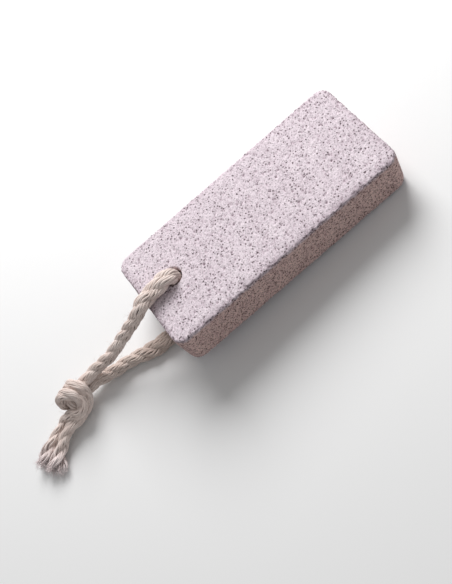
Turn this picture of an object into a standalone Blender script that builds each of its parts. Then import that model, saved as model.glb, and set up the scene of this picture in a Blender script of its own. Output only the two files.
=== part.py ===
"""A block of pumice on a loop of cotton cord.

The stone is one rounded block with open pores and a bore near its -X end. One cord goes through the bore,
and its two ends are tied together in an overhand knot with two loose tails. The stone lies on the lower
strand of its own cord, so its -X end is lifted and its far bottom edge touches the surface, z = 0.
The origin is under the middle of the stone, on that surface. +X runs along the stone, away from the cord.
"""
import math

import bmesh
import bpy
import numpy as np
from mathutils import Matrix, Vector

MM = 0.001
GAP = 0.3 * MM                      # kept between pieces that touch

# Stone
LENGTH = 100.0 * MM
WIDTH = 44.0 * MM
THICKNESS = 18.5 * MM
CORNER_RADIUS = 4.8 * MM            # the four upright edges
EDGE_RADIUS = 2.0 * MM              # the worn edges round the top and bottom faces
CORNER_STEPS = 4
EDGE_STEPS = 3

# Bore for the cord, from the top face to the bottom face
BORE_RADIUS = 3.3 * MM
BORE_X = -36.0 * MM
BORE_Y = 1.8 * MM
MOUTH_FLARE = 0.4 * MM              # how much the cord has worn each mouth open
MOUTH_DEPTH = 1.0 * MM
BORE_SIDES = 24

# The largest pores, the ones that show from a step away
PORE_SEED = 11
PORE_COUNT = 500
PORE_SIDES = 5
PORE_RADII = (0.45 * MM, 0.85 * MM)
PORE_DEPTH = 0.85                   # of the pore's radius
PORE_LIFT = 0.25 * MM               # how far a cutter starts above the face
PORE_LEAN = 0.25                    # sideways shift of a pore's bottom, of its radius
PORE_SPACING = 0.7 * MM             # least stone between two pores
REST_PAD = 5.0 * MM                 # radius kept free of pores in the middle of both flat faces
PORE_TRIES = 12000

# Cord
CORD_DIAMETER = 5.0 * MM
CORD_REACH = 12.0 * MM              # from the -X end of the stone to where the cord has turned flat under it
TUBE_STEP = 2.4 * MM
TUBE_RESOLUTION = 2
ROUTE_STEP = 1.0 * MM

# The upper strand: up out of the bore, over the end of the stone and down to the knot.
UPPER_STRAND = [
    (-35.9, 1.8, 14.6), (-35.6, 1.8, 19.0), (-35.5, 1.6, 22.9), (-36.3, 1.3, 25.7), (-38.6, 1.1, 26.85),
    (-41.6, 0.8, 26.95), (-45.0, 0.5, 27.15), (-48.5, 0.0, 27.2), (-51.6, -0.3, 26.0),
    (-54.5, -0.2, 23.8), (-58.0, 0.5, 21.3), (-62.0, 1.2, 18.7), (-66.5, 1.9, 16.0), (-71.0, 2.3, 13.5),
    (-75.5, 3.0, 11.5), (-80.5, 4.2, 9.8),
]
# The lower strand: down out of the bore, under the end of the stone and along the surface to the knot.
LOWER_STRAND = [
    (-35.95, 1.8, 14.1), (-36.0, 1.8, 9.8), (-36.5, 1.6, 6.1), (-38.3, 1.0, 3.45), (-41.5, 0.0, 2.65),
    (-46.0, -1.4, 2.6), (-50.5, -2.6, 2.6), (-54.3, -3.2, 2.6), (-58.1, -2.8, 2.6), (-62.6, -1.9, 2.6),
    (-66.7, -0.5, 2.6), (-71.0, 0.9, 2.65), (-75.0, 1.6, 2.75), (-79.4, 2.5, 3.0),
]

# The knot is described as it faces a viewer who looks down on it from the front: across, up and out.
KNOT_CENTRE = (-95.5, 2.9, 7.0)
KNOT_AZIMUTH = math.radians(10.3)
KNOT_ELEVATION = math.radians(58.9)
KNOT_ROLL = math.radians(-51.6)
KNOT_SPACING = 3.4 * MM             # between the strands where the knot has squeezed them
KNOT_PASSES = 160
KNOT_STIFFNESS = 0.12
UPPER_IN_KNOT = [
    (5.4, 8.4, 1.0), (2.8, 4.8, 0.0), (0.2, 1.6, -0.4), (-1.9, -0.8, 0.8), (-1.8, -2.3, 3.0),
    (-0.2, -2.9, 4.2), (0.8, -2.5, 4.1), (1.3, -2.7, 2.6), (1.2, -3.4, 0.0), (0.5, -4.0, -2.7),
    (-0.8, -3.6, -4.2), (-2.6, -1.4, -4.0), (-3.2, 1.6, -2.8), (-3.2, 4.2, -0.4), (-1.9, 5.6, 2.6),
    (0.8, 5.3, 4.2), (3.7, 4.1, 3.8), (5.1, 2.0, 1.6), (4.2, -0.6, -1.0), (1.9, -3.0, -1.4),
    (-0.2, -6.1, 0.6),
]
LOWER_IN_KNOT = [
    (6.6, 5.2, -2.0), (4.0, 3.0, -1.5), (0.8, -0.6, -1.8), (-1.8, -4.4, -1.6), (-3.7, -5.8, -0.6),
    (-5.0, -4.4, 0.8), (-4.7, -1.9, 1.2), (-3.9, 0.6, 1.8), (-2.9, 1.8, 3.2), (-1.0, 1.6, 4.6),
    (1.4, 0.9, 4.6), (3.5, -0.3, 2.6), (2.4, -2.5, 0.9), (-0.4, -4.6, 0.6), (-2.6, -6.5, 0.4),
]
# The tails lie on the surface.
UPPER_TAIL = [
    (-103.1, -2.5, 5.3), (-105.2, -3.5, 5.0), (-109.3, -5.3, 3.9), (-113.6, -7.6, 2.75),
    (-118.0, -11.6, 2.65),
]
LOWER_TAIL = [
    (-104.6, 1.2, 3.4), (-108.1, -0.2, 2.7), (-112.7, -1.5, 2.65), (-117.2, -3.6, 2.65),
    (-121.4, -6.4, 2.65),
]
TAIL_DIAMETER = 4.1 * MM            # squeezed by the knot
KNOT_START = 5.5 * MM               # how far before its first knot point a strand enters the knot's solid
TAIL_END_DIAMETER = 4.8 * MM        # the ends have started to unlay
KNOT_SKIN = 0.5 * MM                # fills the grooves where the squeezed strands meet
KNOT_GAP = 0.6 * MM                 # between the knot's solid and the tubes that meet it
KNOT_VOXEL = 0.5 * MM
KNOT_FACES = 1500

STONE_COLOUR = (0.70, 0.61, 0.65, 1.0)
CORD_COLOUR = (0.58, 0.52, 0.45, 1.0)


def clear_scene():
    for old in list(bpy.data.objects):
        bpy.data.objects.remove(old, do_unlink=True)


def new_collection(name):
    collection = bpy.data.collections.new(name)
    bpy.context.scene.collection.children.link(collection)
    return collection


def principled(name, colour, roughness):
    material = bpy.data.materials.new(name)
    material.use_nodes = True
    shader = material.node_tree.nodes["Principled BSDF"]
    shader.inputs["Base Color"].default_value = colour
    shader.inputs["Roughness"].default_value = roughness
    shader.inputs["Metallic"].default_value = 0.0
    return material


def add_object(name, mesh, collection, material=None):
    obj = bpy.data.objects.new(name, mesh)
    collection.objects.link(obj)
    if material is not None:
        mesh.materials.append(material)
    return obj


def mesh_from(bm, name):
    mesh = bpy.data.meshes.new(name)
    bm.to_mesh(mesh)
    bm.free()
    return mesh


def stone_placement():
    """The stone leans on its far bottom edge and on the cord, which lifts the -X end by its own diameter."""
    reach = LENGTH - EDGE_RADIUS - CORD_REACH
    tilt = math.asin((CORD_DIAMETER + 2 * GAP) / reach)
    height = (LENGTH / 2 - EDGE_RADIUS) * math.sin(tilt) + (THICKNESS / 2 - EDGE_RADIUS) * math.cos(tilt)
    return Matrix.Translation((0, 0, height + EDGE_RADIUS)) @ Matrix.Rotation(tilt, 4, "Y")


def block_mesh():
    """The rounded block, centred on its own middle."""
    bm = bmesh.new()
    bmesh.ops.create_cube(bm, size=1.0)
    bmesh.ops.scale(bm, vec=(LENGTH, WIDTH, THICKNESS), verts=bm.verts)
    upright = [e for e in bm.edges if abs(e.verts[0].co.z - e.verts[1].co.z) > THICKNESS / 2]
    bmesh.ops.bevel(
        bm, geom=upright, offset=CORNER_RADIUS, segments=CORNER_STEPS, affect="EDGES", profile=0.5)
    rims = [e for e in bm.edges if abs(e.verts[0].co.z - e.verts[1].co.z) < MM / 100]
    bmesh.ops.bevel(bm, geom=rims, offset=EDGE_RADIUS, segments=EDGE_STEPS, affect="EDGES", profile=0.5)
    return mesh_from(bm, "stone")


def bore_cutter(collection):
    """A turned profile, top to bottom on its +X side, with both mouths worn open."""
    half = THICKNESS / 2
    flare = BORE_RADIUS + MOUTH_FLARE
    profile = [
        (0, half + MM), (flare, half + MM), (flare, half), (BORE_RADIUS, half - MOUTH_DEPTH),
        (BORE_RADIUS, MOUTH_DEPTH - half), (flare, -half), (flare, -half - MM), (0, -half - MM),
    ]
    bm = bmesh.new()
    points = [bm.verts.new((x, 0, z)) for x, z in profile]
    for a, b in zip(points, points[1:]):
        bm.edges.new((a, b))
    cutter = add_object("bore_cutter", mesh_from(bm, "bore_cutter"), collection)
    cutter.location = (BORE_X, BORE_Y, 0)
    screw = cutter.modifiers.new("turn", "SCREW")
    screw.steps = screw.render_steps = BORE_SIDES
    screw.use_merge_vertices = True
    screw.merge_threshold = 0.00001
    return cutter


def face_spots():
    """Centre, outward direction and half sizes of the flat part of each side of the block."""
    half = Vector((LENGTH / 2, WIDTH / 2, THICKNESS / 2))
    for axis in range(3):
        for side in (-1, 1):
            out = Vector((0, 0, 0))
            out[axis] = side
            inset = EDGE_RADIUS if axis == 2 else CORNER_RADIUS
            spans = [0.0 if k == axis else half[k] - (EDGE_RADIUS if k == 2 else inset) for k in range(3)]
            yield out * half[axis], out, spans


def pore_places():
    """Seeded places on the flat sides, each with its radius, none closer than the least wall."""
    random = np.random.RandomState(PORE_SEED)
    spots = list(face_spots())
    areas = []
    for _, out, spans in spots:
        flat = [s for s in spans if s > 0]
        areas.append(flat[0] * flat[1])
    shares = np.cumsum(areas) / np.sum(areas)
    places = []
    for _ in range(PORE_TRIES):
        pick, across, along, size = random.random_sample(4)
        centre, out, spans = spots[int(np.searchsorted(shares, pick))]
        radius = PORE_RADII[0] + (PORE_RADII[1] - PORE_RADII[0]) * size ** 2
        flat = [k for k in range(3) if spans[k] > 0]
        point = centre.copy()
        for k, share in zip(flat, (across, along)):
            point[k] += (2 * share - 1) * (spans[k] - radius)
        if out.z:
            from_bore = math.hypot(point.x - BORE_X, point.y - BORE_Y)
            from_middle = math.hypot(point.x, point.y)
            mouth = BORE_RADIUS + MOUTH_FLARE + PORE_SPACING
            if from_bore < mouth + radius or from_middle < REST_PAD + radius:
                continue
        if any((point - p).length < radius + r + PORE_SPACING for p, r, _ in places):
            continue
        places.append((point, radius, out))
        if len(places) == PORE_COUNT:
            break
    return places


def pore_cutter(collection):
    """All pores as one cutter: leaning five-sided pits."""
    random = np.random.RandomState(PORE_SEED + 1)
    bm = bmesh.new()
    for point, radius, out in pore_places():
        depth = radius * PORE_DEPTH
        turn, stretch, lean_x, lean_y = random.random_sample(4)
        pit = bmesh.ops.create_cone(
            bm, cap_ends=True, segments=PORE_SIDES, radius1=0.0, radius2=radius, depth=depth + PORE_LIFT
        )["verts"]
        for vert in pit:
            if vert.co.z < 0:
                vert.co.x += (lean_x - 0.5) * 2 * PORE_LEAN * radius
                vert.co.y += (lean_y - 0.5) * 2 * PORE_LEAN * radius
            vert.co.x *= 0.8 + 0.2 * stretch
        facing = out.to_track_quat("Z", "Y").to_matrix().to_4x4()
        shift = Matrix.Translation(point + out * (PORE_LIFT - depth) / 2)
        spin = Matrix.Rotation(turn * math.tau, 4, "Z")
        bmesh.ops.transform(bm, matrix=shift @ facing @ spin, verts=pit)
    bmesh.ops.remove_doubles(bm, verts=bm.verts, dist=0.00001)
    return add_object("pore_cutter", mesh_from(bm, "pore_cutter"), collection)


def cut(obj, cutter):
    cutter.hide_render = True
    cutter.display_type = "WIRE"
    boolean = obj.modifiers.new(cutter.name, "BOOLEAN")
    boolean.operation = "DIFFERENCE"
    boolean.solver = "EXACT"
    boolean.object = cutter


def build_stone(parts, cutters):
    placement = stone_placement()
    stone = add_object("stone", block_mesh(), parts, principled("pumice", STONE_COLOUR, 0.95))
    stone.matrix_world = placement
    for cutter in (bore_cutter(cutters), pore_cutter(cutters)):
        cutter.matrix_world = placement @ Matrix.Translation(cutter.location)
        cut(stone, cutter)
    return stone


def knot_axes():
    """Across, up and out, as seen by the viewer that the knot's points are written for."""
    out = np.array([
        math.sin(KNOT_AZIMUTH) * math.cos(KNOT_ELEVATION),
        -math.cos(KNOT_AZIMUTH) * math.cos(KNOT_ELEVATION),
        math.sin(KNOT_ELEVATION),
    ])
    level = np.array([math.cos(KNOT_AZIMUTH), math.sin(KNOT_AZIMUTH), 0.0])
    rise = np.array([
        out[1] * level[2] - out[2] * level[1],
        out[2] * level[0] - out[0] * level[2],
        out[0] * level[1] - out[1] * level[0],
    ])
    across = level * math.cos(KNOT_ROLL) + rise * math.sin(KNOT_ROLL)
    up = rise * math.cos(KNOT_ROLL) - level * math.sin(KNOT_ROLL)
    return across, up, out


def knot_points(points):
    across, up, out = knot_axes()
    centre = np.array(KNOT_CENTRE)
    return [tuple(centre + a * across + b * up + c * out) for a, b, c in points]


def smooth_route(points, step):
    """Points a step apart along a centripetal Catmull-Rom curve through the given ones."""
    p = np.array(points) * MM
    p = np.vstack([2 * p[0] - p[1], p, 2 * p[-1] - p[-2]])
    dense = []
    for k in range(1, len(p) - 2):
        knots = [0.0]
        for a, b in zip(p[k - 1:k + 2], p[k:k + 3]):
            knots.append(knots[-1] + math.sqrt(math.sqrt(np.sum((b - a) ** 2))))
        t0, t1, t2, t3 = knots
        for t in np.linspace(t1, t2, 24, endpoint=False):
            a1 = (t1 - t) / (t1 - t0) * p[k - 1] + (t - t0) / (t1 - t0) * p[k]
            a2 = (t2 - t) / (t2 - t1) * p[k] + (t - t1) / (t2 - t1) * p[k + 1]
            a3 = (t3 - t) / (t3 - t2) * p[k + 1] + (t - t2) / (t3 - t2) * p[k + 2]
            b1 = (t2 - t) / (t2 - t0) * a1 + (t - t0) / (t2 - t0) * a2
            b2 = (t3 - t) / (t3 - t1) * a2 + (t - t1) / (t3 - t1) * a3
            dense.append((t2 - t) / (t2 - t1) * b1 + (t - t1) / (t2 - t1) * b2)
    dense.append(p[-2])
    dense = np.array(dense)
    return stretch(dense, 0.0, walked_lengths(dense)[-1], step)


def walked_lengths(points):
    return np.concatenate([[0.0], np.cumsum(np.sqrt(np.sum(np.diff(points, axis=0) ** 2, axis=1)))])


def stretch(route, start, end, step):
    """The part of a route between two lengths walked along it, with points about a step apart."""
    walked = walked_lengths(route)
    places = np.linspace(start, end, max(2, int(round((end - start) / step)) + 1))
    return np.stack([np.interp(places, walked, route[:, k]) for k in range(3)], axis=1)


def press_apart(first, second, knot_spans):
    """Moves the strands apart in the knot until they only touch, and keeps them off the surface."""
    points = np.vstack([first, second])
    strand = np.repeat([0, 1], [len(first), len(second)])
    place = np.concatenate([np.arange(len(first)), np.arange(len(second))])
    free = np.zeros(len(points))
    for number, (start, end) in enumerate(knot_spans):
        free[(strand == number) & (place >= start) & (place <= end)] = 1.0
    for number, size in enumerate((len(first), len(second))):
        mine = np.flatnonzero(strand == number)
        padded = np.concatenate([np.full(3, free[mine][0]), free[mine], np.full(3, free[mine][-1])])
        free[mine] = np.mean([padded[k:k + size] for k in range(7)], axis=0)
    spacing = (CORD_DIAMETER + GAP) * (1 - free) + KNOT_SPACING * free
    spacing = (spacing[:, None] + spacing[None, :]) / 2
    apart = np.abs(place[:, None] - place[None, :]) * ROUTE_STEP
    neighbours = (strand[:, None] == strand[None, :]) & (apart < 1.7 * KNOT_SPACING)
    movable = free[:, None]
    ends = np.array([0, len(first) - 1, len(first), len(points) - 1])
    inner = np.setdiff1d(np.arange(len(points)), ends)
    for _ in range(KNOT_PASSES):
        between = points[:, None, :] - points[None, :, :]
        distance = np.sqrt(np.sum(between ** 2, axis=2)) + MM * MM
        lack = np.where(neighbours, 0.0, np.clip(spacing - distance, 0.0, None))
        push = np.sum(between * (lack / distance)[:, :, None], axis=1)
        points = points + 0.25 * movable * push
        bend = np.zeros_like(points)
        bend[inner] = (points[inner - 1] + points[inner + 1]) / 2 - points[inner]
        points = points + KNOT_STIFFNESS * movable * bend
        points[:, 2] = np.maximum(points[:, 2], KNOT_SPACING / 2 + KNOT_SKIN + GAP)
    return points[:len(first)], points[len(first):]


def cord_routes():
    """Both strands from the middle of the bore to the end of the tail, and where each is in the knot."""
    routes = []
    spans = []
    for strand, knot, tail in (
        (UPPER_STRAND, UPPER_IN_KNOT, UPPER_TAIL),
        (LOWER_STRAND, LOWER_IN_KNOT, LOWER_TAIL),
    ):
        inside = knot_points(knot)
        route = smooth_route(strand + inside + tail, ROUTE_STEP)
        start = nearest(route, inside[0])
        end = nearest(route, tail[0])
        routes.append(route)
        spans.append((start, end))
    first, second = press_apart(routes[0], routes[1], spans)
    return (first, second), spans


def nearest(route, point):
    return int(np.argmin(np.sum((route - np.array(point) * MM) ** 2, axis=1)))


def tube(name, points, radii, collection, material=None):
    """A capped tube through the points, with a radius at each, as a mesh with its caps welded."""
    curve = bpy.data.curves.new(name, "CURVE")
    curve.dimensions = "3D"
    curve.bevel_depth = 1.0
    curve.bevel_resolution = TUBE_RESOLUTION
    curve.use_fill_caps = True
    spline = curve.splines.new("POLY")
    spline.points.add(len(points) - 1)
    for target, point, radius in zip(spline.points, points, radii):
        target.co = (*point, 1.0)
        target.radius = radius
    guide = bpy.data.objects.new(name + "_guide", curve)
    collection.objects.link(guide)
    evaluated = guide.evaluated_get(bpy.context.evaluated_depsgraph_get())
    mesh = bpy.data.meshes.new_from_object(evaluated)
    mesh.name = name
    bpy.data.objects.remove(guide, do_unlink=True)
    bpy.data.curves.remove(curve)
    bm = bmesh.new()
    bm.from_mesh(mesh)
    bmesh.ops.remove_doubles(bm, verts=bm.verts, dist=0.00001)
    bm.to_mesh(mesh)
    bm.free()
    mesh.materials.clear()
    return add_object(name, mesh, collection, material)


def largest_shell(mesh):
    """Drops the small closed shells that the joined strands leave inside the knot."""
    bm = bmesh.new()
    bm.from_mesh(mesh)
    left = set(bm.verts)
    shells = []
    while left:
        shell = {left.pop()}
        waiting = list(shell)
        while waiting:
            vert = waiting.pop()
            for edge in vert.link_edges:
                other = edge.other_vert(vert)
                if other in left:
                    left.remove(other)
                    shell.add(other)
                    waiting.append(other)
        shells.append(shell)
    keep = max(shells, key=len)
    bmesh.ops.delete(bm, geom=[v for v in bm.verts if v not in keep], context="VERTS")
    bm.to_mesh(mesh)
    bm.free()


def applied(obj):
    """Replaces the object's mesh by what its modifiers make of it."""
    evaluated = obj.evaluated_get(bpy.context.evaluated_depsgraph_get())
    mesh = bpy.data.meshes.new_from_object(evaluated)
    obj.modifiers.clear()
    obj.data = mesh
    return mesh


def build_knot(routes, spans, parts, cutters, material):
    """The knot's outer shape: its strands, fused and thinned to few faces."""
    bm = bmesh.new()
    for number, (route, (start, end)) in enumerate(zip(routes, spans)):
        walked = walked_lengths(route)
        inside = stretch(route, walked[start] - KNOT_START, walked[end], ROUTE_STEP)
        squeeze = np.clip(np.arange(len(inside)) * ROUTE_STEP / KNOT_START, 0.0, 1.0)
        radii = CORD_DIAMETER / 2 * (1 - squeeze) + (KNOT_SPACING / 2 + KNOT_SKIN) * squeeze
        piece = tube(f"knot_strand_{number}", inside, radii, cutters)
        bm.from_mesh(piece.data)
        bpy.data.objects.remove(piece, do_unlink=True)
    knot = add_object("cord_knot", mesh_from(bm, "cord_knot"), parts)
    remesh = knot.modifiers.new("fuse", "REMESH")
    remesh.mode = "VOXEL"
    remesh.voxel_size = KNOT_VOXEL
    mesh = applied(knot)
    largest_shell(mesh)
    smooth = knot.modifiers.new("smooth", "SMOOTH")
    smooth.factor = 0.5
    smooth.iterations = 3
    decimate = knot.modifiers.new("thin", "DECIMATE")
    mesh.calc_loop_triangles()
    decimate.ratio = KNOT_FACES / len(mesh.loop_triangles)
    mesh = applied(knot)
    mesh.materials.clear()
    mesh.materials.append(material)
    return knot


def build_cord(parts, cutters):
    material = principled("cotton_cord", CORD_COLOUR, 0.9)
    routes, spans = cord_routes()
    for side, route, (start, end) in zip(("upper", "lower"), routes, spans):
        walked = walked_lengths(route)
        strand = stretch(route, 0.0, walked[start] - KNOT_START - KNOT_GAP, TUBE_STEP)
        tail = stretch(route, walked[end] + KNOT_GAP, walked[-1], TUBE_STEP)
        strand_radii = np.full(len(strand), CORD_DIAMETER / 2)
        tail_radii = np.linspace(TAIL_DIAMETER, TAIL_END_DIAMETER, len(tail)) / 2
        tube(f"cord_{side}", strand, strand_radii, parts, material)
        tube(f"cord_tail_{side}", tail, tail_radii, parts, material)
    build_knot(routes, spans, parts, cutters, material)


def build():
    clear_scene()
    parts = new_collection("pumice_stone")
    cutters = new_collection("cutters")
    build_stone(parts, cutters)
    build_cord(parts, cutters)


build()
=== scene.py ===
"""The dressed pumice stone: open-pored stone, three-strand cotton cord and knot, floor, light, camera."""
import math

import bmesh
import bpy
import numpy as np
from mathutils import Matrix, Vector
from mathutils.kdtree import KDTree


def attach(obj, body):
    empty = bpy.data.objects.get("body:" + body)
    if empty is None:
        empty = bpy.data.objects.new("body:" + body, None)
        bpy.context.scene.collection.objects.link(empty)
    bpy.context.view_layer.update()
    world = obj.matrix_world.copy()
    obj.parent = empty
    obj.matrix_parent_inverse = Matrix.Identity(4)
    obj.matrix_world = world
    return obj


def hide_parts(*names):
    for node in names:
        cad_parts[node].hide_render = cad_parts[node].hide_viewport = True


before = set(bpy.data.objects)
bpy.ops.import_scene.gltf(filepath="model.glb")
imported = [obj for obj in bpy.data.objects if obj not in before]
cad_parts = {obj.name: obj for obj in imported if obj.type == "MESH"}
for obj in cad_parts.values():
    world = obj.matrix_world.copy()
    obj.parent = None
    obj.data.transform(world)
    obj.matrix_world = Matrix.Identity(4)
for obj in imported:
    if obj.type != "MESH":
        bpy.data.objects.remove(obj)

MM = 0.001
GAP = 0.3 * MM

# Stone, as in the part
LENGTH = 100.0 * MM
WIDTH = 44.0 * MM
THICKNESS = 18.5 * MM
CORNER_RADIUS = 4.8 * MM
EDGE_RADIUS = 2.0 * MM
BORE_RADIUS = 3.3 * MM
BORE_X = -36.0 * MM
BORE_Y = 1.8 * MM
MOUTH_FLARE = 0.4 * MM
MOUTH_DEPTH = 1.0 * MM
BORE_SIDES = 48

# The largest pores, at the same places as in the part
PORE_SEED = 11
PORE_COUNT = 500
PORE_RADII = (0.45 * MM, 0.85 * MM)
PORE_SPACING = 0.7 * MM
REST_PAD = 5.0 * MM
PORE_TRIES = 12000

# The finer pores: how many, least and greatest radius
FINE_SEED = 23
FINE_PORES = (
    (1700, 0.28 * MM, 0.42 * MM),
    (9000, 0.22 * MM, 0.30 * MM),
)
PIT_DEPTH = 0.9                     # of the radius
LARGE_SHARE = 0.62                  # the broken mouths seen are narrower than the part's plain pits
RIM_PORE_GROWTH = 0.35              # pores on the rims are larger by up to this share
PORE_SCATTER = 0.2                  # mm that a pore's centre is shifted, at most, each way
NARROWEST_PORE = 0.75               # an oval pore's width, of its length
DEEPEST = 1.3 * MM
DEEPEST_IN_BORE = 0.25 * MM
DARKEST_DEPTH = 0.45 * MM           # pores at least this deep get the darkest painted shade

# The stone's surface
STONE_VOXEL = 0.405 * MM
STONE_ROUGH = 0.045 * MM            # scatter of the surface between the pores
STONE_UNEVEN = 0.12 * MM            # broad hollows in the sawn faces
WEAR_REACH = 3.0 * MM               # how far the crumbled rim reaches in from an edge
WEAR_DEPTH = 0.34 * MM
CRUMBLE_SHADE = 0.35               # painted shade: a crumbled hollow gets less than a pore of its depth
TOP_RIM_PROFILE = 0.74              # 0.5 is round, 1 is sharp
BOTTOM_RIM_PROFILE = 0.56
# Painted shade: the sides are darker and browner than the top, partly their own tone, partly painted shade.
PALE_TOP_REACH = 1.8 * MM                # how far the pale top colour goes down the sides, above their painted shade
SIDE_SHADE_BLEND = 1.3 * MM
FAR_SIDE_PALE = 0.6                  # the +Y side, toward the key light, gets little of the painted side shade

# Cord, as in the part
CORD_DIAMETER = 5.0 * MM
CORD_REACH = 12.0 * MM
ROUTE_STEP = 1.0 * MM
UPPER_STRAND = [
    (-35.9, 1.8, 14.6), (-35.6, 1.8, 19.0), (-35.5, 1.6, 22.9), (-36.3, 1.3, 25.7), (-38.6, 1.1, 26.85),
    (-41.6, 0.8, 26.95), (-45.0, 0.5, 27.15), (-48.5, 0.0, 27.2), (-51.6, -0.3, 26.0),
    (-54.5, -0.2, 23.8), (-58.0, 0.5, 21.3), (-62.0, 1.2, 18.7), (-66.5, 1.9, 16.0), (-71.0, 2.3, 13.5),
    (-75.5, 3.0, 11.5), (-80.5, 4.2, 9.8),
]
LOWER_STRAND = [
    (-35.95, 1.8, 14.1), (-36.0, 1.8, 9.8), (-36.5, 1.6, 6.1), (-38.3, 1.0, 3.45), (-41.5, 0.0, 2.65),
    (-46.0, -1.4, 2.6), (-50.5, -2.6, 2.6), (-54.3, -3.2, 2.6), (-58.1, -2.8, 2.6), (-62.6, -1.9, 2.6),
    (-66.7, -0.5, 2.6), (-71.0, 0.9, 2.65), (-75.0, 1.6, 2.75), (-79.4, 2.5, 3.0),
]
KNOT_CENTRE = (-95.5, 2.9, 7.0)
KNOT_AZIMUTH = math.radians(10.3)
KNOT_ELEVATION = math.radians(58.9)
KNOT_ROLL = math.radians(-51.6)
KNOT_SPACING = 3.4 * MM
KNOT_PASSES = 160
KNOT_STIFFNESS = 0.12
KNOT_SKIN = 0.5 * MM
UPPER_IN_KNOT = [
    (5.4, 8.4, 1.0), (2.8, 4.8, 0.0), (0.2, 1.6, -0.4), (-1.9, -0.8, 0.8), (-1.8, -2.3, 3.0),
    (-0.2, -2.9, 4.2), (0.8, -2.5, 4.1), (1.3, -2.7, 2.6), (1.2, -3.4, 0.0), (0.5, -4.0, -2.7),
    (-0.8, -3.6, -4.2), (-2.6, -1.4, -4.0), (-3.2, 1.6, -2.8), (-3.2, 4.2, -0.4), (-1.9, 5.6, 2.6),
    (0.8, 5.3, 4.2), (3.7, 4.1, 3.8), (5.1, 2.0, 1.6), (4.2, -0.6, -1.0), (1.9, -3.0, -1.4),
    (-0.2, -6.1, 0.6),
]
LOWER_IN_KNOT = [
    (6.6, 5.2, -2.0), (4.0, 3.0, -1.5), (0.8, -0.6, -1.8), (-1.8, -4.4, -1.6), (-3.7, -5.8, -0.6),
    (-5.0, -4.4, 0.8), (-4.7, -1.9, 1.2), (-3.9, 0.6, 1.8), (-2.9, 1.8, 3.2), (-1.0, 1.6, 4.6),
    (1.4, 0.9, 4.6), (3.5, -0.3, 2.6), (2.4, -2.5, 0.9), (-0.4, -4.6, 0.6), (-2.6, -6.5, 0.4),
]
UPPER_TAIL = [
    (-103.1, -2.5, 5.3), (-105.2, -3.5, 5.0), (-109.3, -5.3, 3.9), (-113.6, -7.6, 2.75),
    (-118.0, -11.6, 2.65),
]
LOWER_TAIL = [
    (-104.6, 1.2, 3.4), (-108.1, -0.2, 2.7), (-112.7, -1.5, 2.65), (-117.2, -3.6, 2.65),
    (-121.4, -6.4, 2.65),
]
UPPER_EXIT = (-0.0353, 0.0018, 0.0239)
LOWER_EXIT = (-0.0365, 0.0018, 0.0055)

# How the cord is laid
EASE_PASSES = 8                     # smooth each path where it leaves the knot
YARN_STEP = 0.45 * MM
LAY = 19.0 * MM                     # one turn of the three strands
YARN_LAY = -11.0 * MM               # one turn of the yarns in a strand, the other way
STRANDS = 3
YARNS = 13                          # round the outside of each strand
YARN_SIDES = 6
STRAND_SHARE = 0.65                 # a strand's radius, of the cord's
YARN_RING = 0.80                    # of the strand's radius
YARN_THICKNESS = 0.25               # of the strand's radius
KNOT_RADIUS = 2.32 * MM
REACH = 4.9 * MM                    # nothing of the cord strays further from its middle
YARN_REACH = REACH - 0.5 * MM
LEAST_HEIGHT = 0.1 * MM             # of a yarn above the surface
END_TAPER = 2.5 * MM                # the yarns narrow over this length at the cut end
END_NARROWING = 0.55
STREAK_ALONG = 0.35                 # scale of the streaks along a yarn
STREAK_ROUND = 1.6                  # and round it

# Loose fibres
FUZZ_COUNT = 700
FUZZ_RADIUS = 0.032 * MM
TUFT_HAIRS = 9                      # at each yarn's cut end
HAIR_STEPS = 5
HAIR_SIDES = 3
HAIR_CURL = 2.4 * MM                # a smaller value curls more
HAIR_HEIGHT = 0.15 * MM             # the least above the surface
TUFT_LENGTHS = (0.8, 2.8)           # mm
FUZZ_LENGTHS = (0.8, 2.6)
TIP_REACH = 9.0 * MM                # the cut ends are paler

# Camera, measured in the stone's own frame from the middle of its underside
CAMERA_TURN = math.radians(4.3385)
CAMERA_LEAN = math.radians(30.6434)
CAMERA_ROLL = math.radians(44.6465)
CAMERA_DISTANCE = 329.4225 * MM
CAMERA_ACROSS = 15.8008 * MM
CAMERA_UP = 21.3336 * MM
CAMERA_LENS = 54.99

# Surroundings
FLOOR_REACH = 3.0
FLOOR_DROP = 0.02 * MM
KEY_PLACE = (0.17, 0.45, 0.42)
KEY_TARGET = (0, 0, 0.01)
KEY_SIZE = 0.45
KEY_POWER = 5.5
SKY_STRENGTH = 0.345


def stone_placement():
    """The stone leans on its far bottom edge and on the cord, which lifts the -X end by its diameter."""
    reach = LENGTH - EDGE_RADIUS - CORD_REACH
    tilt = math.asin((CORD_DIAMETER + 2 * GAP) / reach)
    height = (
        (LENGTH / 2 - EDGE_RADIUS) * math.sin(tilt) + (THICKNESS / 2 - EDGE_RADIUS) * math.cos(tilt))
    return Matrix.Translation((0, 0, height + EDGE_RADIUS)) @ Matrix.Rotation(tilt, 4, "Y")


def add_object(name, mesh, material=None):
    obj = bpy.data.objects.new(name, mesh)
    bpy.context.scene.collection.objects.link(obj)
    if material is not None:
        mesh.materials.clear()
        mesh.materials.append(material)
    return obj


def apply_modifiers(obj):
    evaluated = obj.evaluated_get(bpy.context.evaluated_depsgraph_get())
    mesh = bpy.data.meshes.new_from_object(evaluated)
    obj.modifiers.clear()
    obj.data = mesh


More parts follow.
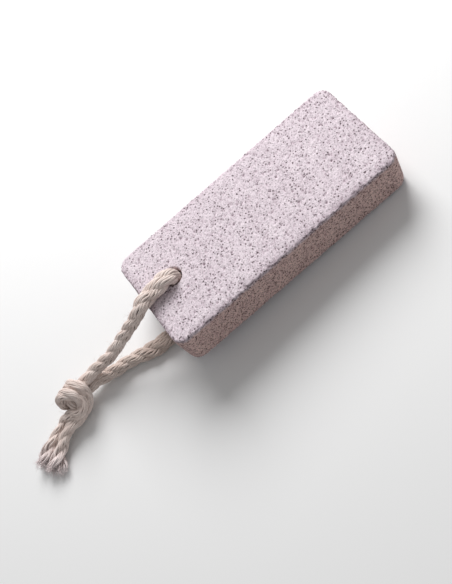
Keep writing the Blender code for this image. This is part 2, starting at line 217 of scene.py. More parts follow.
class Graph:
    """A short way to write a material's nodes."""

    def __init__(self, name):
        self.material = bpy.data.materials.new(name)
        self.material.use_nodes = True
        self.nodes = self.material.node_tree.nodes
        self.shader = self.nodes["Principled BSDF"]

    def add(self, kind, settings=None, **inputs):
        node = self.nodes.new("ShaderNode" + kind)
        for key, value in (settings or {}).items():
            setattr(node, key, value)
        for key, value in inputs.items():
            self.give(node.inputs[key.replace("_", " ")], value)
        return node

    def give(self, socket, value):
        if isinstance(value, bpy.types.NodeSocket):
            self.material.node_tree.links.new(value, socket)
        else:
            socket.default_value = value

    def ramp(self, factor, *stops):
        node = self.nodes.new("ShaderNodeValToRGB")
        self.give(node.inputs["Fac"], factor)
        bar = node.color_ramp.elements
        while len(bar) < len(stops):
            bar.new(1.0)
        for element, (place, shade) in zip(bar, stops):
            element.position = place
            element.color = (*shade, 1.0) if isinstance(shade, tuple) else (shade, shade, shade, 1.0)
        return node.outputs["Color"]

    def mix(self, kind, share, first, second):
        node = self.nodes.new("ShaderNodeMix")
        node.data_type = "RGBA"
        node.blend_type = kind
        self.give(node.inputs[0], share)
        for socket, value in ((node.inputs[6], first), (node.inputs[7], second)):
            self.give(socket, (*value, 1.0) if isinstance(value, tuple) else value)
        return node.outputs[2]

    def math(self, operation, first, second=0.0):
        node = self.nodes.new("ShaderNodeMath")
        node.operation = operation
        self.give(node.inputs[0], first)
        self.give(node.inputs[1], second)
        return node.outputs[0]


def pumice_material():
    """Greyish lilac, blotched, with painted shade in the pores, pale broken walls between them, and painted
    shade on the sides.
    """
    g = Graph("pumice")
    place = g.add("TexCoord").outputs["Object"]
    mm = g.add("Mapping", Vector=place, Scale=(1000, 1000, 1000)).outputs["Vector"]
    blotch = g.add("TexNoise", Vector=mm, Scale=0.16, Detail=4.0, Roughness=0.6).outputs["Fac"]
    speck = g.add("TexNoise", Vector=mm, Scale=1.5, Detail=3.0, Roughness=0.7).outputs["Fac"]
    grain = g.add("TexNoise", Vector=mm, Scale=4.0, Detail=2.0, Roughness=0.6).outputs["Fac"]
    cell = g.add("TexVoronoi", Vector=mm, Scale=1.35, Randomness=1.0).outputs["Distance"]
    dot = g.add("TexVoronoi", Vector=mm, Scale=0.72, Randomness=1.0).outputs["Distance"]
    pore = g.add("Attribute", {"attribute_name": "pore"}).outputs["Fac"]
    pale_share = g.add("Attribute", {"attribute_name": "pale_top_shaded_sides"}).outputs["Fac"]
    base = g.ramp(
        blotch, (0.3, (0.61, 0.525, 0.57)), (0.52, (0.65, 0.567, 0.612)), (0.72, (0.69, 0.61, 0.65)))
    # Painted shade on the sides: away from the top and the +Y side the colour is multiplied by a brown,
    # partly the sides' own darker tone, partly painted shade.
    side_shade_and_tone = g.mix("MULTIPLY", 1.0, base, g.ramp(pale_share, (0.0, (0.69, 0.57, 0.495)), (1.0, 1.0)))
    specked = g.mix("MULTIPLY", 0.6, side_shade_and_tone, g.ramp(speck, (0.33, 0.70), (0.5, 1.02), (0.66, 1.15)))
    grained = g.mix("MULTIPLY", 0.9, specked, g.ramp(grain, (0.3, 0.72), (0.55, 1.0), (0.75, 1.2)))
    # Painted shade in the fine pores: darker at the Voronoi cell centres, which the bump sinks.
    cell_pore_shaded = g.mix("MULTIPLY", 1.0, grained, g.ramp(cell, (0.1, 0.42), (0.3, 1.0), (0.7, 1.12)))
    # Stronger painted shade in the fine pores down the sides.
    side_share = g.math("SUBTRACT", 1.0, pale_share)
    side_pore_shade = g.ramp(cell, (0.14, 0.40), (0.36, 1.0), (0.62, 1.22))
    side_pores_shaded = g.mix("MULTIPLY", side_share, cell_pore_shaded, side_pore_shade)
    # Painted shade in the finest pores: near-black dots that the bump sinks.
    dot_pore_shade = g.ramp(dot, (0.15, (0.20, 0.16, 0.17)), (0.28, 1.05), (0.9, 1.10))
    dot_shaded = g.mix("MULTIPLY", 1.0, side_pores_shaded, dot_pore_shade)
    # Painted shade in the carved pits, darker the deeper the pit.
    pit_depth_shade = g.ramp(pore, (0.0, 1.0), (0.35, (0.80, 0.76, 0.78)), (1.0, (0.32, 0.27, 0.29)))
    g.give(g.shader.inputs["Base Color"], g.mix("MULTIPLY", 1.0, dot_shaded, pit_depth_shade))
    dot_relief = g.math("MULTIPLY", g.math("MINIMUM", dot, 0.2), 3.0)
    cell_relief = g.math("ADD", g.math("MINIMUM", cell, 0.4), dot_relief)
    relief = g.math("ADD", g.math("MULTIPLY", grain, 0.7), cell_relief)
    bump = g.add("Bump", Strength=0.8, Distance=0.0003, Height=relief)
    g.give(g.shader.inputs["Normal"], bump.outputs["Normal"])
    g.shader.inputs["Roughness"].default_value = 0.95
    g.shader.inputs["Specular IOR Level"].default_value = 0.2
    return g.material


def cotton_material():
    """Undyed cotton: fibres that run along each yarn, with paler stretches and stretches darkened by
    painted shade.
    """
    g = Graph("cotton_cord")
    fibre = g.add("Attribute", {"attribute_name": "fibre"}).outputs["Vector"]
    place = g.add("TexCoord").outputs["Object"]
    mm = g.add("Mapping", Vector=place, Scale=(1000, 1000, 1000)).outputs["Vector"]
    streak = g.add("TexNoise", Vector=fibre, Scale=1.0, Detail=3.0, Roughness=0.65).outputs["Fac"]
    patch = g.add("TexNoise", Vector=mm, Scale=0.13, Detail=3.0, Roughness=0.55).outputs["Fac"]
    lint = g.add("TexNoise", Vector=mm, Scale=2.6, Detail=2.0, Roughness=0.6).outputs["Fac"]
    tip = g.add("Attribute", {"attribute_name": "tip"}).outputs["Fac"]
    cord_painted_shade = g.add("Attribute", {"attribute_name": "cord_painted_shade"}).outputs["Fac"]
    base = g.ramp(
        patch, (0.3, (0.66, 0.545, 0.50)), (0.5, (0.76, 0.645, 0.595)), (0.72, (0.82, 0.72, 0.675)))
    tipped = g.mix("MIX", g.math("MULTIPLY", tip, 0.75), base, (0.90, 0.80, 0.81))
    # Painted shade: the cord is darkened by this attribute, mostly on the lower half near the stone.
    shadowed = g.mix("MULTIPLY", 1.0, tipped, g.ramp(cord_painted_shade, (0.0, 1.0), (1.0, (0.72, 0.69, 0.66))))
    lined = g.mix("MULTIPLY", 0.8, shadowed, g.ramp(streak, (0.3, 0.66), (0.5, 0.97), (0.7, 1.12)))
    linted = g.mix("MULTIPLY", 0.6, lined, g.ramp(lint, (0.3, 0.8), (0.6, 1.08)))
    g.give(g.shader.inputs["Base Color"], linted)
    bump = g.add("Bump", Strength=0.55, Distance=0.00012, Height=streak)
    g.give(g.shader.inputs["Normal"], bump.outputs["Normal"])
    g.shader.inputs["Roughness"].default_value = 0.92
    g.shader.inputs["Specular IOR Level"].default_value = 0.15
    g.shader.inputs["Sheen Weight"].default_value = 0.15
    g.shader.inputs["Sheen Roughness"].default_value = 0.5
    return g.material


def face_spots():
    """Centre, outward direction and half sizes of the flat part of each side of the block."""
    half = Vector((LENGTH / 2, WIDTH / 2, THICKNESS / 2))
    for axis in range(3):
        for side in (-1, 1):
            out = Vector((0, 0, 0))
            out[axis] = side
            inset = EDGE_RADIUS if axis == 2 else CORNER_RADIUS
            spans = [0.0 if k == axis else half[k] - (EDGE_RADIUS if k == 2 else inset) for k in range(3)]
            yield out * half[axis], out, spans


def large_pores():
    """The part's own pores, drawn from the same seed."""
    random = np.random.RandomState(PORE_SEED)
    spots = list(face_spots())
    areas = []
    for _, out, spans in spots:
        flat = [s for s in spans if s > 0]
        areas.append(flat[0] * flat[1])
    shares = np.cumsum(areas) / np.sum(areas)
    places = []
    for _ in range(PORE_TRIES):
        pick, across, along, size = random.random_sample(4)
        centre, out, spans = spots[int(np.searchsorted(shares, pick))]
        radius = PORE_RADII[0] + (PORE_RADII[1] - PORE_RADII[0]) * size ** 2
        flat = [k for k in range(3) if spans[k] > 0]
        point = centre.copy()
        for k, share in zip(flat, (across, along)):
            point[k] += (2 * share - 1) * (spans[k] - radius)
        if out.z:
            from_bore = math.hypot(point.x - BORE_X, point.y - BORE_Y)
            from_middle = math.hypot(point.x, point.y)
            mouth = BORE_RADIUS + MOUTH_FLARE + PORE_SPACING
            if from_bore < mouth + radius or from_middle < REST_PAD + radius:
                continue
        if any((point - p).length < radius + r + PORE_SPACING for p, r in places):
            continue
        places.append((point, radius))
        if len(places) == PORE_COUNT:
            break
    return places


def block_object():
    """The smooth block with its bore, centred on its own middle, remeshed evenly."""
    bm = bmesh.new()
    bmesh.ops.create_cube(bm, size=1.0)
    bmesh.ops.scale(bm, vec=(LENGTH, WIDTH, THICKNESS), verts=bm.verts)
    upright = [e for e in bm.edges if abs(e.verts[0].co.z - e.verts[1].co.z) > THICKNESS / 2]
    bmesh.ops.bevel(bm, geom=upright, offset=CORNER_RADIUS, segments=8, affect="EDGES", profile=0.5)
    for side, profile in ((1, TOP_RIM_PROFILE), (-1, BOTTOM_RIM_PROFILE)):
        rims = [e for e in bm.edges if all(side * v.co.z > THICKNESS / 2 - MM / 100 for v in e.verts)]
        bmesh.ops.bevel(bm, geom=rims, offset=EDGE_RADIUS, segments=6, affect="EDGES", profile=profile)
    mesh = bpy.data.meshes.new("stone_pumice")
    bm.to_mesh(mesh)
    bm.free()
    block = add_object("stone_pumice", mesh)
    half = THICKNESS / 2
    flare = BORE_RADIUS + MOUTH_FLARE
    profile = [
        (0, half + MM), (flare, half + MM), (flare, half), (BORE_RADIUS, half - MOUTH_DEPTH),
        (BORE_RADIUS, MOUTH_DEPTH - half), (flare, -half), (flare, -half - MM), (0, -half - MM),
    ]
    bm = bmesh.new()
    points = [bm.verts.new((x, 0, z)) for x, z in profile]
    edges = [bm.edges.new(pair) for pair in zip(points, points[1:])]
    bmesh.ops.spin(
        bm, geom=points + edges, axis=(0, 0, 1), cent=(0, 0, 0), steps=BORE_SIDES, angle=math.tau)
    bmesh.ops.remove_doubles(bm, verts=bm.verts, dist=0.00001)
    bmesh.ops.recalc_face_normals(bm, faces=bm.faces)
    cutter_mesh = bpy.data.meshes.new("bore_cutter")
    bm.to_mesh(cutter_mesh)
    bm.free()
    cutter = add_object("bore_cutter", cutter_mesh)
    cutter.location = (BORE_X, BORE_Y, 0)
    boolean = block.modifiers.new("bore", "BOOLEAN")
    boolean.operation = "DIFFERENCE"
    boolean.solver = "EXACT"
    boolean.object = cutter
    remesh = block.modifiers.new("even", "REMESH")
    remesh.mode = "VOXEL"
    remesh.voxel_size = STONE_VOXEL
    apply_modifiers(block)
    bpy.data.objects.remove(cutter, do_unlink=True)
    return block


def smooth_noise(points, size, seed):
    """A soft random field: eight slanted waves of about one length."""
    random = np.random.RandomState(seed)
    field = np.zeros(len(points))
    for _ in range(8):
        direction = random.normal(size=3)
        direction *= math.tau / size / np.linalg.norm(direction) * random.uniform(0.6, 1.5)
        field += np.sin(points @ direction + random.uniform(0, math.tau))
    return field / 8


def edge_share(points):
    """1 on the block's outer edges, falling to 0 at the wear's reach from them."""
    half = np.array([LENGTH, WIDTH, THICKNESS]) / 2
    second = np.sort(half - np.abs(points), axis=1)[:, 1]
    return np.clip(1.0 - second / WEAR_REACH, 0.0, 1.0)


def vertex_vectors(mesh, field):
    values = np.empty(len(mesh.vertices) * 3)
    mesh.vertices.foreach_get(field, values)
    return values.reshape(-1, 3)


def pit_depths(points, edge, random):
    """How deep the pores of every size make each point of the surface."""
    count = len(points)
    tree = KDTree(count)
    for number, point in enumerate(points):
        tree.insert(point, number)
    tree.balance()
    depth = np.zeros(count)
    pits = [(np.array(point), radius * LARGE_SHARE) for point, radius in large_pores()]
    for number, least, greatest in FINE_PORES:
        for vertex in random.randint(0, count, number):
            radius = least + (greatest - least) * random.random_sample() ** 2
            radius *= 1.0 + RIM_PORE_GROWTH * edge[vertex]
            place = points[vertex] + random.uniform(-PORE_SCATTER, PORE_SCATTER, 3) * MM
            pits.append((place, radius))
    for place, radius in pits:
        turn = random.normal(size=3)
        turn /= np.linalg.norm(turn)
        stretch = random.uniform(NARROWEST_PORE, 1.0)
        found = tree.find_range(place, radius * 1.15)
        if not found:
            continue
        near = np.array([index for _, index, _ in found])
        away = points[near] - place
        along = away @ turn
        distance = np.sqrt(np.clip(np.sum(away ** 2, axis=1) - (1 - stretch ** 2) * along ** 2, 0, None))
        pit = PIT_DEPTH * radius * np.sqrt(np.clip(1 - (distance / radius) ** 2, 0, None))
        depth[near] = np.maximum(depth[near], pit)
    return depth


def carve_pores(block):
    """Sinks pits and wear into the surface, and stores for each point the painted shade of its pit and
    whether it takes the pale top colour or the painted side shade.
    """
    mesh = block.data
    points = vertex_vectors(mesh, "co")
    normals = vertex_vectors(mesh, "normal")
    count = len(points)
    random = np.random.RandomState(FINE_SEED)
    edge = edge_share(points)
    depth = pit_depths(points, edge, random)
    inside = np.hypot(points[:, 0] - BORE_X, points[:, 1] - BORE_Y) < BORE_RADIUS + MOUTH_FLARE
    depth[inside] *= 0.5
    ragged = 0.9 * smooth_noise(points, 3.0 * MM, 5) + 1.1 * smooth_noise(points, 1.3 * MM, 6)
    crumble = np.clip(edge * WEAR_DEPTH * (0.3 + ragged + 1.2 * random.random_sample(count)), 0, None)
    rough = STONE_ROUGH * np.abs(random.normal(size=count))
    uneven = STONE_UNEVEN * (smooth_noise(points, 14 * MM, 7) * 0.5 + 0.5)
    sink = np.clip(depth + (rough + uneven) + crumble, 0, DEEPEST)
    sink[inside] = np.minimum(sink[inside], DEEPEST_IN_BORE)
    moved = points - normals * sink[:, None]
    mesh.vertices.foreach_set("co", moved.ravel())
    # Painted shade for the carved pits and, less, for the crumbled rim.
    pit_shade = mesh.attributes.new("pore", "FLOAT", "POINT")
    pit_shade.data.foreach_set("value", np.clip((depth + crumble * CRUMBLE_SHADE) / DARKEST_DEPTH, 0, 1))
    # Painted side shade: 1 for the pale top and much of the +Y side, falling to 0 down the other sides.
    pale_share = mesh.attributes.new("pale_top_shaded_sides", "FLOAT", "POINT")
    flat = (np.abs(points[:, 2]) - (THICKNESS / 2 - PALE_TOP_REACH)) / SIDE_SHADE_BLEND
    patchy = np.clip(flat + 0.6 * smooth_noise(points, 2.2 * MM, 9), 0, 1)
    toward_far_side = np.clip((points[:, 1] / WIDTH + 0.5) * 1.2, 0, 1)
    pale_share.data.foreach_set("value", np.maximum(patchy, FAR_SIDE_PALE * toward_far_side))
    mesh.update()
    mesh.polygons.foreach_set("use_smooth", np.ones(len(mesh.polygons), dtype=bool))


def build_stone():
    block = block_object()
    carve_pores(block)
    block.data.materials.clear()
    block.data.materials.append(pumice_material())
    block.matrix_world = stone_placement()
    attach(block, "root")
    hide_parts("stone")


def knot_points(points):
    """The knot's points are written across, up and out, for a viewer who looks down from the front."""
    out = np.array([
        math.sin(KNOT_AZIMUTH) * math.cos(KNOT_ELEVATION),
        -math.cos(KNOT_AZIMUTH) * math.cos(KNOT_ELEVATION),
        math.sin(KNOT_ELEVATION),
    ])
    level = np.array([math.cos(KNOT_AZIMUTH), math.sin(KNOT_AZIMUTH), 0.0])
    rise = np.cross(out, level)
    across = level * math.cos(KNOT_ROLL) + rise * math.sin(KNOT_ROLL)
    up = rise * math.cos(KNOT_ROLL) - level * math.sin(KNOT_ROLL)
    centre = np.array(KNOT_CENTRE)
    return [tuple(centre + a * across + b * up + c * out) for a, b, c in points]


def walked_lengths(points):
    return np.concatenate([[0.0], np.cumsum(np.sqrt(np.sum(np.diff(points, axis=0) ** 2, axis=1)))])


def stretch_of(route, start, end, step):
    walked = walked_lengths(route)
    places = np.linspace(start, end, max(2, int(round((end - start) / step)) + 1))
    return np.stack([np.interp(places, walked, route[:, k]) for k in range(3)], axis=1)


def smooth_route(points, step, samples=24):
    """Points a step apart along a centripetal Catmull-Rom curve through the given ones."""
    p = np.vstack([2 * points[0] - points[1], points, 2 * points[-1] - points[-2]])
    dense = []
    for k in range(1, len(p) - 2):
        knots = [0.0]
        for a, b in zip(p[k - 1:k + 2], p[k:k + 3]):
            knots.append(knots[-1] + math.sqrt(math.sqrt(np.sum((b - a) ** 2))))
        t0, t1, t2, t3 = knots
        for t in np.linspace(t1, t2, samples, endpoint=False):
            a1 = (t1 - t) / (t1 - t0) * p[k - 1] + (t - t0) / (t1 - t0) * p[k]
            a2 = (t2 - t) / (t2 - t1) * p[k] + (t - t1) / (t2 - t1) * p[k + 1]
            a3 = (t3 - t) / (t3 - t2) * p[k + 1] + (t - t2) / (t3 - t2) * p[k + 2]
            b1 = (t2 - t) / (t2 - t0) * a1 + (t - t0) / (t2 - t0) * a2
            b2 = (t3 - t) / (t3 - t1) * a2 + (t - t1) / (t3 - t1) * a3
            dense.append((t2 - t) / (t2 - t1) * b1 + (t - t1) / (t2 - t1) * b2)
    dense.append(p[-2])
    dense = np.array(dense)
    return stretch_of(dense, 0.0, walked_lengths(dense)[-1], step)


def press_apart(first, second, knot_spans):
    """Moves the strands apart in the knot until they only touch, and keeps them off the surface."""
    points = np.vstack([first, second])
    strand = np.repeat([0, 1], [len(first), len(second)])
    place = np.concatenate([np.arange(len(first)), np.arange(len(second))])
    free = np.zeros(len(points))
    for number, (start, end) in enumerate(knot_spans):
        free[(strand == number) & (place >= start) & (place <= end)] = 1.0
    for number, size in enumerate((len(first), len(second))):
        mine = np.flatnonzero(strand == number)
        padded = np.concatenate([np.full(3, free[mine][0]), free[mine], np.full(3, free[mine][-1])])
        free[mine] = np.mean([padded[k:k + size] for k in range(7)], axis=0)
    spacing = (CORD_DIAMETER + GAP) * (1 - free) + KNOT_SPACING * free
    spacing = (spacing[:, None] + spacing[None, :]) / 2
    apart = np.abs(place[:, None] - place[None, :]) * ROUTE_STEP
    neighbours = (strand[:, None] == strand[None, :]) & (apart < 1.7 * KNOT_SPACING)
    movable = free[:, None]
    ends = np.array([0, len(first) - 1, len(first), len(points) - 1])
    inner = np.setdiff1d(np.arange(len(points)), ends)
    for _ in range(KNOT_PASSES):
        between = points[:, None, :] - points[None, :, :]
        distance = np.sqrt(np.sum(between ** 2, axis=2)) + MM * MM
        lack = np.where(neighbours, 0.0, np.clip(spacing - distance, 0.0, None))
        push = np.sum(between * (lack / distance)[:, :, None], axis=1)
        points = points + 0.25 * movable * push
        bend = np.zeros_like(points)
        bend[inner] = (points[inner - 1] + points[inner + 1]) / 2 - points[inner]
        points = points + KNOT_STIFFNESS * movable * bend
        points[:, 2] = np.maximum(points[:, 2], KNOT_SPACING / 2 + KNOT_SKIN + GAP)
    return points[:len(first)], points[len(first):]


def nearest(route, point):
    return int(np.argmin(np.sum((route - np.array(point) * MM) ** 2, axis=1)))


def eased(route, exit_place):
    """Takes the small kink out of a strand where it leaves the knot."""
    inner = np.arange(exit_place - 5, exit_place + 9)
    for _ in range(EASE_PASSES):
        route[inner] += 0.5 * ((route[inner - 1] + route[inner + 1]) / 2 - route[inner])
    return route


def cord_routes():
    """Both strands from the middle of the bore to the end of the tail, and where each is in the knot."""
    routes = []
    spans = []
    for strand, knot, tail in (
        (UPPER_STRAND, UPPER_IN_KNOT, UPPER_TAIL),
        (LOWER_STRAND, LOWER_IN_KNOT, LOWER_TAIL),
    ):
        inside = knot_points(knot)
        route = smooth_route(np.array(strand + inside + tail) * MM, ROUTE_STEP)
        routes.append(route)
        spans.append((nearest(route, inside[0]), nearest(route, tail[0])))
    pressed = press_apart(routes[0], routes[1], spans)
    return [eased(route, end) for route, (_, end) in zip(pressed, spans)], spans


def carried_frames(points):
    """Unit tangents and two unit vectors square to them that don't spin along the line."""
    tangents = np.gradient(points, axis=0)
    tangents /= np.linalg.norm(tangents, axis=1)[:, None]
    side = np.cross(tangents[0], (0.3, 1.0, 0.2))
    sides = [side / np.linalg.norm(side)]
    for tangent in tangents[1:]:
        side = sides[-1] - tangent * (sides[-1] @ tangent)
        sides.append(side / np.linalg.norm(side))
    sides = np.array(sides)
    return tangents, sides, np.cross(tangents, sides)


def blend(places, *stops):
    """A value along the cord, eased between the given (length from the bore in mm, value) stops."""
    at, values = zip(*stops)
    walk = np.interp(places / MM, at, np.arange(len(at)))
    whole = np.floor(walk)
    part = walk - whole
    eased = whole + part * part * (3 - 2 * part)
    return np.interp(eased, np.arange(len(at)), values)


def wave(random, walked, shortest, longest, latest=math.tau):
    """A sine along the cord with a random length in mm and a random start."""
    return np.sin(walked / MM * math.tau / random.uniform(shortest, longest) + random.uniform(0, latest))


def tubes(lines, outward, radii, sides):
    """Closed tubes round lines of equal length. Returns points, faces, caps and each point's angle."""
    tangents = np.gradient(lines, axis=1)
    tangents /= np.linalg.norm(tangents, axis=2)[:, :, None]
    first = outward - tangents * np.sum(outward * tangents, axis=2)[:, :, None]
    first /= np.linalg.norm(first, axis=2)[:, :, None]
    second = np.cross(tangents, first)
    angles = np.arange(sides) / sides * math.tau
    ring = (
        first[:, :, None, :] * np.cos(angles)[None, None, :, None]
        + second[:, :, None, :] * np.sin(angles)[None, None, :, None]
    )
    points = lines[:, :, None, :] + ring * radii[:, :, None, None]
    count, steps = lines.shape[:2]
    index = np.arange(count * steps * sides).reshape(count, steps, sides)
    a = index[:, :-1, :]
    b = np.roll(index, -1, axis=2)[:, :-1, :]
    c = np.roll(index, -1, axis=2)[:, 1:, :]
    d = index[:, 1:, :]
    quads = np.stack([a, b, c, d], axis=-1).reshape(-1, 4)
    caps = [list(index[k, 0, ::-1]) for k in range(count)] + [list(index[k, -1, :]) for k in range(count)]
    return points.reshape(-1, 3), quads, caps, np.broadcast_to(angles, (count, steps, sides)).reshape(-1)


def yarn_lines(random, profile, fine, walked, frames, radius, opening, flat, taper):
    """The middle line, outward direction, thickness and streak label of each yarn."""
    tangents, sides, ups = frames
    wide, high = flat
    level_up = np.array([0.0, 0.0, 1.0]) - tangents * tangents[:, 2:3]
    steep = np.linalg.norm(level_up, axis=1)
    level_up /= np.maximum(steep, 0.05)[:, None]
    level_side = np.cross(tangents, level_up)
    lines = []
    outward = []
    thick = []
    labels = []
    for strand in range(STRANDS):
        wander = 0.12 * wave(random, walked, 17, 29)
        turn = walked / LAY * math.tau + strand * math.tau / STRANDS + wander + profile["phase"]
        slack = 1.0 + 0.05 * wave(random, walked, 7, 12)
        strand_radius = radius * (STRAND_SHARE - 0.13 * opening) * slack
        reach = (radius - strand_radius) * (1 + profile["spread"][strand] * opening)
        arm = sides * np.cos(turn)[:, None] + ups * np.sin(turn)[:, None]
        for yarn in range(YARNS):
            shiver = 0.16 * wave(random, walked, 5, 9)
            spin = walked / YARN_LAY * math.tau + turn + yarn * math.tau / YARNS + shiver
            ring = strand_radius * YARN_RING * (1 + 0.35 * opening * random.uniform(-0.9, 1.0))
            leg = sides * np.cos(spin)[:, None] + ups * np.sin(spin)[:, None]
            stray = opening[:, None] ** 2 * random.normal(size=3)[None, :] * 0.45 * MM
            offset = arm * reach[:, None] + leg * ring[:, None] + stray
            tall = np.sum(offset * level_up, axis=1)
            broad = np.sum(offset * level_side, axis=1)
            raised = level_up * (tall * (high - 1))[:, None]
            widened = level_side * (broad * (wide - 1))[:, None]
            offset = offset + raised + widened
            far = np.linalg.norm(offset, axis=1)
            offset = offset * np.minimum(1.0, YARN_REACH / far)[:, None]
            lines.append(fine + offset)
            outward.append(leg)
            swell = 1.0 + 0.10 * wave(random, walked, 2.5, 6, latest=6)
            thick.append(strand_radius * YARN_THICKNESS * swell * (1 + 0.15 * opening) * taper)
            labels.append(random.uniform(0, 50))
    lines = np.array(lines)
    thick = np.array(thick)
    lines[:, :, 2] = np.maximum(lines[:, :, 2], thick + LEAST_HEIGHT)
    return lines, np.array(outward), thick, np.array(labels)


def loose_fibres(random, lines, fine, tangents):
    """Fine hairs that stand off the yarns, with a tuft at each cut end. The tufts come first."""
    last = len(fine) - 1
    hairs = []
    outward = []
    tuft_hairs = 0
    roots = [(line, last) for line in range(len(lines)) for _ in range(TUFT_HAIRS)]
    roots += [(random.randint(len(lines)), random.randint(20, last)) for _ in range(FUZZ_COUNT)]
    for line, place in roots:
        root = lines[line, place]
        away = root - fine[place]
        away = away / (np.linalg.norm(away) + 1e-9)
        if place == last:
            lean = tangents[place] + away * random.uniform(0.0, 0.5) + random.normal(size=3) * 0.22
            long = random.uniform(*TUFT_LENGTHS) * MM
            root = root + random.normal(size=3) * 0.2 * MM
        else:
            lean = away * random.uniform(0.1, 0.7) + tangents[place] * random.uniform(-1, 1)
            lean = lean + random.normal(size=3) * 0.3
            long = random.uniform(*FUZZ_LENGTHS) * MM
        lean /= np.linalg.norm(lean)
        curl = random.normal(size=3) * 0.5
        out = np.linspace(0, 1, HAIR_STEPS)[:, None]
        hair = root + lean * out * long + curl * (out * long) ** 2 / HAIR_CURL
        hair[:, 2] = np.maximum(hair[:, 2], HAIR_HEIGHT)
        if np.max(np.linalg.norm(hair - fine[place], axis=1)) > REACH:
            continue
        tuft_hairs += place == last
        hairs.append(hair)
        outward.append(np.cross(lean, curl)[None, :] + np.zeros((HAIR_STEPS, 1)))
    return np.array(hairs), np.array(outward), tuft_hairs


def note_values(mesh, name, kind, field, values):
    mesh.attributes.new(name, kind, "POINT").data.foreach_set(field, values)


def laid_cord(name, route, spans, seed, material, profile):
    """Three strands of yarns laid round a route, squeezed in the knot and opening out at the tail's end."""
    random = np.random.RandomState(seed)
    coarse = walked_lengths(route)
    total = coarse[-1]
    fine = smooth_route(route, YARN_STEP, samples=6)
    walked = walked_lengths(fine)
    knot_start, knot_end = coarse[spans[0]] / MM, coarse[spans[1]] / MM
    frames = carried_frames(fine)
    radius = profile["radius"](walked, knot_start, knot_end, total / MM) * MM
    opening = profile["opening"](walked, knot_end, total / MM)
    flat = profile["flat"](walked, knot_end, total / MM)
    taper = 1 - END_NARROWING * np.clip((walked - total + END_TAPER) / END_TAPER, 0, 1)
    lines, outward, thick, labels = yarn_lines(
        random, profile, fine, walked, frames, radius, opening, flat, taper)
    points, quads, caps, angles = tubes(lines, outward, thick, YARN_SIDES)
    shape = (len(lines), len(fine), YARN_SIDES)
    along = np.broadcast_to(walked[None, :, None] / MM, shape).reshape(-1)
    label = np.broadcast_to(labels[:, None, None], shape).reshape(-1)
    fibre = np.stack([
        along * STREAK_ALONG,
        np.cos(angles) * STREAK_ROUND + label,
        np.sin(angles) * STREAK_ROUND + label * 0.7,
    ], axis=1)
    tip = np.clip((along * MM - total + TIP_REACH) / TIP_REACH, 0, 1)
    # Painted shade along the cord.
    cord_painted_shade = profile["cord_painted_shade"](along * MM, knot_start)

    hairs, hair_outward, tuft_hairs = loose_fibres(random, lines, fine, frames[0])
    hair_radii = np.full(hairs.shape[:2], FUZZ_RADIUS)
    hair_points, hair_quads, hair_caps, _ = tubes(hairs, hair_outward, hair_radii, HAIR_SIDES)
    hair_tip = np.zeros(len(hair_points))
    hair_tip[:tuft_hairs * HAIR_STEPS * HAIR_SIDES] = 1.0
    shift = len(points)
    faces = quads.tolist() + caps
    faces += (hair_quads + shift).tolist() + [[v + shift for v in cap] for cap in hair_caps]
    mesh = bpy.data.meshes.new(name)
    mesh.from_pydata(np.vstack([points, hair_points]).tolist(), [], faces)
    note_values(mesh, "fibre", "FLOAT_VECTOR", "vector", np.vstack([fibre, hair_points / MM]).ravel())
    note_values(mesh, "tip", "FLOAT", "value", np.concatenate([tip, hair_tip]))
    note_values(mesh, "cord_painted_shade", "FLOAT", "value", np.concatenate([cord_painted_shade, np.zeros(len(hair_points))]))
    mesh.polygons.foreach_set("use_smooth", np.ones(len(mesh.polygons), dtype=bool))
    mesh.update()
    return add_object(name, mesh, material)


def upper_profile():
    """How the upper half changes with s, the length from the bore. The knot lies from a to b."""
    return {
        "phase": 0.4,
        # Painted shade, a little, just before the knot.
        "cord_painted_shade": lambda s, a: blend(s, (0, 0), (a - 14, 0), (a - 5, 0.3), (a, 0)),
        "spread": (0.9, 0.3, 1.3),
        "radius": lambda s, a, b, end: blend(
            s, (0, 2.6), (8, 2.8), (11, 3.0), (15, 3.05), (23, 2.95), (33, 2.5), (a - 6, 2.4),
            (a + 2, KNOT_RADIUS / MM), (b - 2, KNOT_RADIUS / MM), (b + 4, 2.1), (b + 10, 2.15),
            (end, 2.45)),
        "opening": lambda s, b, end: blend(s, (0, 0), (b + 2, 0), (b + 8, 0.2), (end - 7, 0.4), (end, 1.0)),
        "flat": lambda s, b, end: (
            blend(s, (0, 1), (10, 1.05), (14, 1.14), (24, 1.14), (31, 1), (b, 1), (end - 7, 1), (end, 1.3)),
            blend(
                s, (0, 1), (10, 1), (14, 0.85), (24, 0.85), (31, 1), (b, 1), (end - 7, 0.95), (end, 0.6))),
    }


def lower_profile():
    """The same for the lower half, which is slacker, and darkened by painted shade near the stone."""
    return {
        "phase": 2.3,
        # Painted shadow of the stone on the lower half, from near the bore to the knot.
        "cord_painted_shade": lambda s, a: blend(s, (0, 0), (10, 0.9), (24, 1), (44, 0.75), (a, 0.3), (a + 8, 0)),
        "spread": (1.2, 0.5, 0.9),
        "radius": lambda s, a, b, end: blend(
            s, (0, 2.5), (9, 2.6), (15, 3.0), (32, 3.1), (44, 2.65), (a - 6, 2.6),
            (a + 2, KNOT_RADIUS / MM), (b - 2, KNOT_RADIUS / MM), (b + 4, 2.1), (b + 10, 2.15),
            (end, 2.45)),
        "opening": lambda s, b, end: blend(s, (0, 0), (b + 2, 0), (b + 8, 0.2), (end - 7, 0.4), (end, 1.0)),
        "flat": lambda s, b, end: (
            blend(s, (0, 1), (10, 1), (15, 1.14), (34, 1.14), (46, 1), (b, 1), (end - 7, 1), (end, 1.3)),
            blend(
                s, (0, 1), (10, 1), (15, 0.84), (34, 0.84), (46, 1), (b, 1), (end - 7, 0.95), (end, 0.6))),
    }


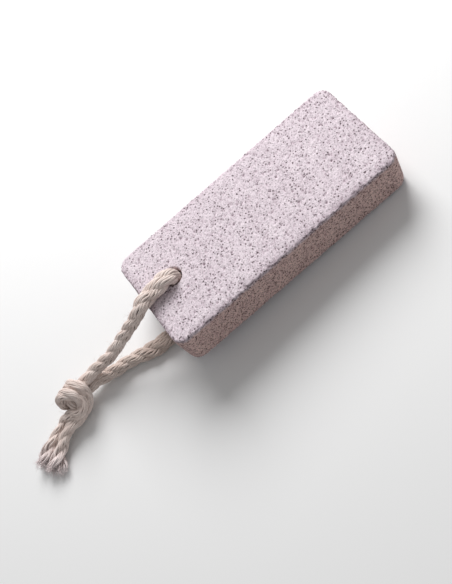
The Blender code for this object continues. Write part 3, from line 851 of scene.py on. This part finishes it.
def build_cord():
    cotton = cotton_material()
    (upper, lower), spans = cord_routes()
    for name, route, span, seed, profile, exit_point, nodes in (
        ("cord_upper_yarns", upper, spans[0], 31, upper_profile(), UPPER_EXIT,
         ("cord_upper", "cord_tail_upper", "cord_knot")),
        ("cord_lower_yarns", lower, spans[1], 47, lower_profile(), LOWER_EXIT,
         ("cord_lower", "cord_tail_lower")),
    ):
        cord = laid_cord(name, route, span, seed, cotton, profile)
        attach(cord, "root")
        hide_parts(*nodes)
        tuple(exit_point)
        float(walked_lengths(route)[-1])


def plain_material(name, colour, roughness):
    g = Graph(name)
    g.shader.inputs["Base Color"].default_value = (*colour, 1.0)
    g.shader.inputs["Roughness"].default_value = roughness
    g.shader.inputs["Specular IOR Level"].default_value = 0.1
    return g.material


def add_floor():
    mesh = bpy.data.meshes.new("floor")
    far = FLOOR_REACH
    corners = [(-far, -far, 0), (far, -far, 0), (far, far, 0), (-far, far, 0)]
    mesh.from_pydata(corners, [], [(0, 1, 2, 3)])
    floor = add_object("floor", mesh, plain_material("pale_floor", (0.82, 0.82, 0.82), 0.9))
    floor.location.z = -FLOOR_DROP


def add_light(name, place, target, size, power):
    data = bpy.data.lights.new(name, "AREA")
    data.shape = "DISK"
    data.size = size
    data.energy = power
    lamp = bpy.data.objects.new(name, data)
    bpy.context.scene.collection.objects.link(lamp)
    lamp.location = place
    lamp.rotation_euler = (Vector(target) - Vector(place)).to_track_quat("-Z", "Y").to_euler()


def add_camera():
    """Placed in the stone's own frame, so it keeps its view of the stone however the stone lies."""
    level = Vector((math.cos(CAMERA_TURN), math.sin(CAMERA_TURN), 0))
    back = Matrix.Rotation(CAMERA_TURN, 3, "Z") @ Vector((0, -math.sin(CAMERA_LEAN), math.cos(CAMERA_LEAN)))
    rise = back.cross(level)
    across = level * math.cos(CAMERA_ROLL) - rise * math.sin(CAMERA_ROLL)
    up = level * math.sin(CAMERA_ROLL) + rise * math.cos(CAMERA_ROLL)
    place = back * CAMERA_DISTANCE - across * CAMERA_ACROSS - up * CAMERA_UP
    place -= Vector((0, 0, THICKNESS / 2))
    placement = stone_placement()
    turn = placement.to_3x3()
    facing = Matrix((turn @ across, turn @ up, turn @ back)).transposed().to_4x4()
    data = bpy.data.cameras.new("camera")
    data.lens = CAMERA_LENS
    data.clip_start = 0.01
    data.clip_end = 20.0
    camera = bpy.data.objects.new("camera", data)
    bpy.context.scene.collection.objects.link(camera)
    camera.matrix_world = Matrix.Translation(placement @ place) @ facing
    bpy.context.scene.camera = camera


def add_surroundings():
    add_floor()
    add_light("key", KEY_PLACE, KEY_TARGET, KEY_SIZE, KEY_POWER)
    world = bpy.data.worlds.new("studio")
    world.use_nodes = True
    background = world.node_tree.nodes["Background"]
    background.inputs["Color"].default_value = (1.0, 1.0, 1.0, 1.0)
    background.inputs["Strength"].default_value = SKY_STRENGTH
    bpy.context.scene.world = world
    bpy.context.scene.view_settings.view_transform = "Standard"
    add_camera()


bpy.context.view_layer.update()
build_stone()
build_cord()
add_surroundings()
